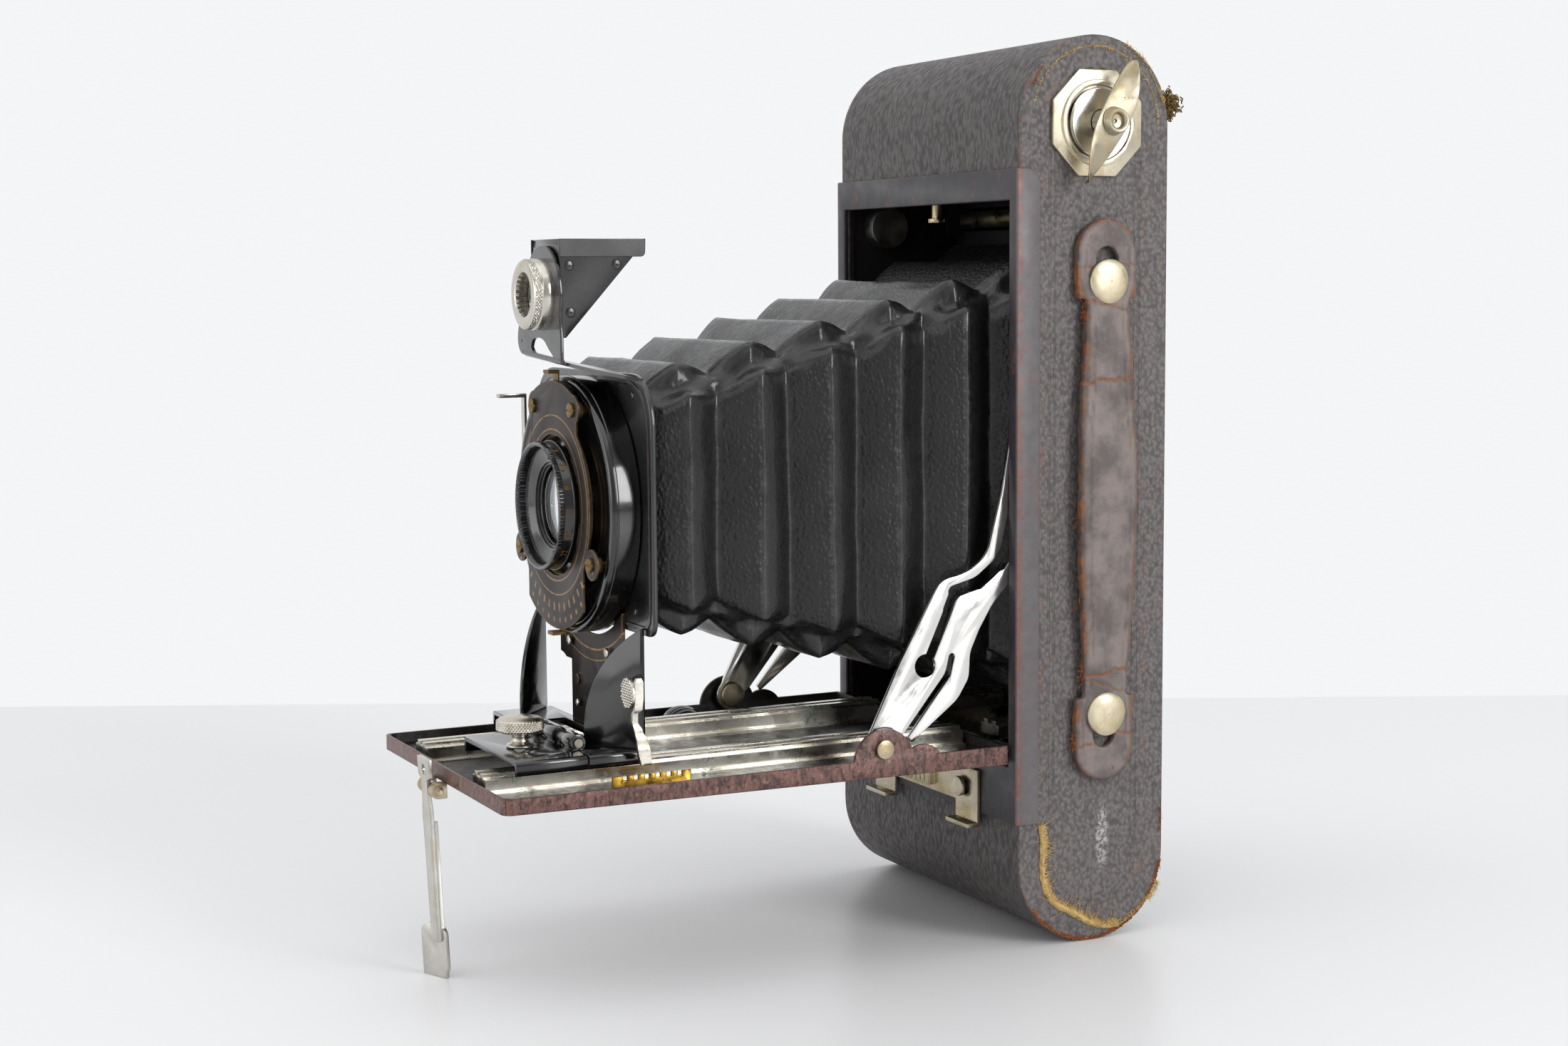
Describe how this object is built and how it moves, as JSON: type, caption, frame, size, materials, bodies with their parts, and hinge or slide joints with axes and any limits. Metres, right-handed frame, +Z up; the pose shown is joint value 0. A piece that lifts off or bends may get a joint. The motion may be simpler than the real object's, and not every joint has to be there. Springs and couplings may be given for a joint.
{
  "type": "folding camera",
  "caption": "Folding roll-film camera with its bed open: bellows, shutter and lens on a sliding standard, swivel finder, winding key, strap and lift-off back.",
  "frame": {"origin": "on the surface it stands on, under the middle of the bounding box", "axes": "+Z up along the body; the lens looks along -Y; +X is the side with the winding key and the strap"},
  "size_m": [0.1, 0.1724, 0.2111],
  "materials": {
    "leather_body": "pebbled black leatherette, worn at the edges",
    "leather_strap": "worn dark brown leather",
    "leather_bellows": "glossy black pebbled leather",
    "lacquer": "gloss black lacquer, brown at worn edges",
    "frame_lacquer": "black lacquer worn to brown",
    "inner_black": "matt black paint",
    "bed_patina": "copper brown patina with streaks",
    "nickel": "worn bright nickel plate",
    "nickel_dull": "dull nickel plate with tarnish",
    "gunmetal": "dark gunmetal with brass outline",
    "brass": "aged brass",
    "glass": "clear coated glass",
    "mirror": "silvered glass",
    "celluloid": "deep red window",
    "wood": "turned varnished wood",
    "steel": "plain steel"
  },
  "bodies": {
    "root": {"body_shell": "lacquer", "side_leather": "leather_body", "front_leather": "leather_body", "front_frame": "frame_lacquer", "film_gate": "inner_black", "key_plate": "nickel", "carry_strap": "leather_strap", "strap_studs": "nickel", "tripod_bush": "steel", "latch_studs": "nickel_dull", "bed_tray": "bed_patina", "bed_leather": "leather_body", "bed_hinge_pin": "steel", "bed_rails": "nickel_dull", "focus_scale": "brass", "struts": "nickel", "strut_pins": "nickel_dull", "ribbed_button": "lacquer", "stand_bracket": "nickel_dull", "bellows": "leather_bellows"},
    "key": {"key_disc": "nickel", "winding_key": "nickel"},
    "takeup": {"takeup_spool": "wood"},
    "feed": {"feed_spool": "wood"},
    "upper_roller": {"roller_top": "nickel_dull"},
    "lower_roller": {"roller_bottom": "nickel_dull"},
    "upper_pin": {"spool_pin_top": "nickel"},
    "lower_pin": {"spool_pin_bottom": "nickel"},
    "catch": {"bed_catch": "nickel_dull"},
    "latch": {"latch_plate": "nickel_dull"},
    "back": {"back_cover": "lacquer", "back_leather": "leather_body", "pressure_plate": "inner_black", "red_window": "celluloid"},
    "door": {"autographic_door": "lacquer"},
    "writing_stylus": {"stylus": "nickel"},
    "leg": {"stand_leg": "nickel"},
    "standard": {"base_plate": "lacquer", "base_hinge_pin": "steel", "standard_wings": "lacquer", "standard_plate": "lacquer", "info_plate": "gunmetal", "finder_bracket": "lacquer", "shutter_drum": "lacquer", "faceplate": "gunmetal", "shutter_screws": "brass", "lens_ring": "lacquer", "front_lens": "glass", "rear_lens": "glass", "shutter_blades": "steel"},
    "clamp": {"clamp_knob": "nickel_dull"},
    "focus": {"focus_lever": "nickel"},
    "finder": {"finder_bezel": "nickel", "finder_lens": "glass", "finder_box": "lacquer", "finder_mirror": "mirror", "finder_window": "glass"},
    "release": {"release_lever": "nickel"},
    "speed": {"speed_lever": "brass"},
    "aperture": {"aperture_pointer": "brass"}
  },
  "joints": [
    {"name": "standard_slide", "type": "slide", "parent": "root", "child": "standard", "axis": [0, 1, 0], "range_m": [0, 0.1], "deforming": ["bellows"]},
    {"name": "key_turn", "type": "hinge", "parent": "root", "child": "key", "pos_m": [0.039, 0.06336, 0.191], "axis": [1, 0, 0], "continuous": true},
    {"name": "takeup_turn", "type": "hinge", "parent": "root", "child": "takeup", "pos_m": [-0.004, 0.06336, 0.191], "axis": [1, 0, 0], "continuous": true},
    {"name": "feed_turn", "type": "hinge", "parent": "root", "child": "feed", "pos_m": [-0.004, 0.06336, 0.02], "axis": [1, 0, 0], "continuous": true},
    {"name": "roller_top_turn", "type": "hinge", "parent": "root", "child": "upper_roller", "pos_m": [-0.004, 0.07696, 0.171], "axis": [1, 0, 0], "continuous": true},
    {"name": "roller_bottom_turn", "type": "hinge", "parent": "root", "child": "lower_roller", "pos_m": [-0.004, 0.07696, 0.0405], "axis": [1, 0, 0], "continuous": true},
    {"name": "pin_top_pull", "type": "slide", "parent": "root", "child": "upper_pin", "axis": [-1, 0, 0], "range_m": [0, 0.006]},
    {"name": "pin_bottom_pull", "type": "slide", "parent": "root", "child": "lower_pin", "axis": [-1, 0, 0], "range_m": [0, 0.006]},
    {"name": "catch_press", "type": "slide", "parent": "root", "child": "catch", "axis": [0, 1, 0], "range_m": [0, 0.0012], "stiffness_N_per_m": 400},
    {"name": "latch_slide", "type": "slide", "parent": "root", "child": "latch", "axis": [1, 0, 0], "range_m": [-0.0015, 0.0015]},
    {"name": "back_lift", "type": "slide", "parent": "root", "child": "back", "axis": [0, 1, 0], "range_m": [0, 0.05]},
    {"name": "door_open", "type": "hinge", "parent": "back", "child": "door", "pos_m": [-0.004, 0.08386, 0.071], "axis": [1, 0, 0], "range_deg": [0, 120]},
    {"name": "stylus_pull", "type": "slide", "parent": "back", "child": "writing_stylus", "axis": [1, 0, 0], "range_m": [0, 0.045]},
    {"name": "leg_fold", "type": "hinge", "parent": "root", "child": "leg", "pos_m": [-0.004, -0.08414, 0.0435], "axis": [1, 0, 0], "range_deg": [0, 80]},
    {"name": "clamp_turn", "type": "hinge", "parent": "standard", "child": "clamp", "pos_m": [0.011, -0.06844, 0.0538], "axis": [0, 0, 1], "range_deg": [0, 180]},
    {"name": "focus_press", "type": "hinge", "parent": "standard", "child": "focus", "pos_m": [0.0292, -0.04724, 0.0546], "axis": [0, 1, 0], "range_deg": [-4, 0], "stiffness_Nm_per_rad": 0.4},
    {"name": "finder_swivel", "type": "hinge", "parent": "standard", "child": "finder", "pos_m": [-0.004, -0.05544, 0.153], "axis": [0, 1, 0], "range_deg": [0, 90]},
    {"name": "release_press", "type": "hinge", "parent": "standard", "child": "release", "pos_m": [-0.025, -0.04924, 0.1125], "axis": [0, 1, 0], "range_deg": [-10, 0], "stiffness_Nm_per_rad": 0.05},
    {"name": "speed_turn", "type": "hinge", "parent": "standard", "child": "speed", "pos_m": [-0.004, -0.05264, 0.1055], "axis": [0, 1, 0], "range_deg": [-12, 12]},
    {"name": "aperture_turn", "type": "hinge", "parent": "standard", "child": "aperture", "pos_m": [-0.004, -0.05204, 0.1055], "axis": [0, 1, 0], "range_deg": [-12, 12]}
  ],
  "couplings": [
    {"joint": "takeup_turn", "follows": "key_turn", "ratio": 1}
  ]
}
